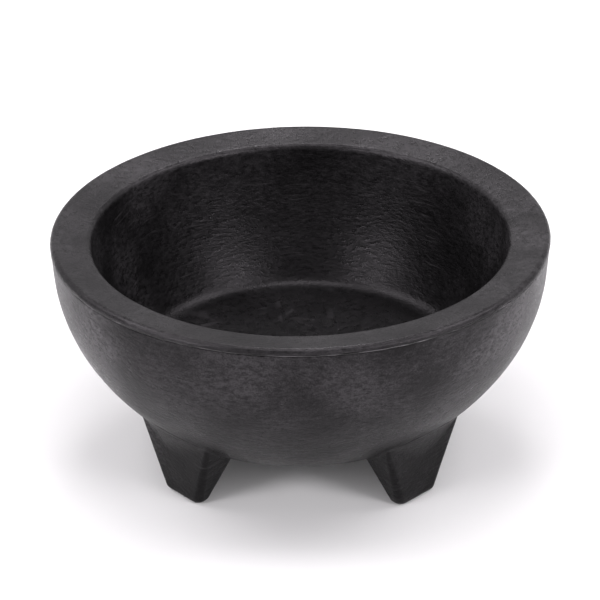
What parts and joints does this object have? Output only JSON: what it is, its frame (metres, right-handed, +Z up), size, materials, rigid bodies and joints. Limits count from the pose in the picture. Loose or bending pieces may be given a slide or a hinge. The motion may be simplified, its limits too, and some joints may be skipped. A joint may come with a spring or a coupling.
{
  "type": "molcajete serving bowl",
  "caption": "Round black moulded molcajete: a thick flat rim, a deep flat-floored bowl and short tapered stub legs.",
  "frame": {"origin": "on the table, on the bowl's axis, in the middle of its legs", "axes": "+Z up along the bowl's axis; -Y is the front, halfway between the two front legs"},
  "size_m": [0.2028, 0.2028, 0.0985],
  "materials": {
    "upper_moulding": "satin, swirled flow marks and scuffs",
    "lower_moulding": "satin, swirled flow marks and scuffs",
    "bonding_compound": "satin"
  },
  "bodies": {
    "root": {"inner_bowl": "upper_moulding", "outer_shell": "lower_moulding", "seam_bead": "bonding_compound", "leg_front_left": "lower_moulding", "leg_front_right": "lower_moulding", "leg_rear_left": "lower_moulding", "leg_rear_right": "lower_moulding"}
  },
  "joints": []
}
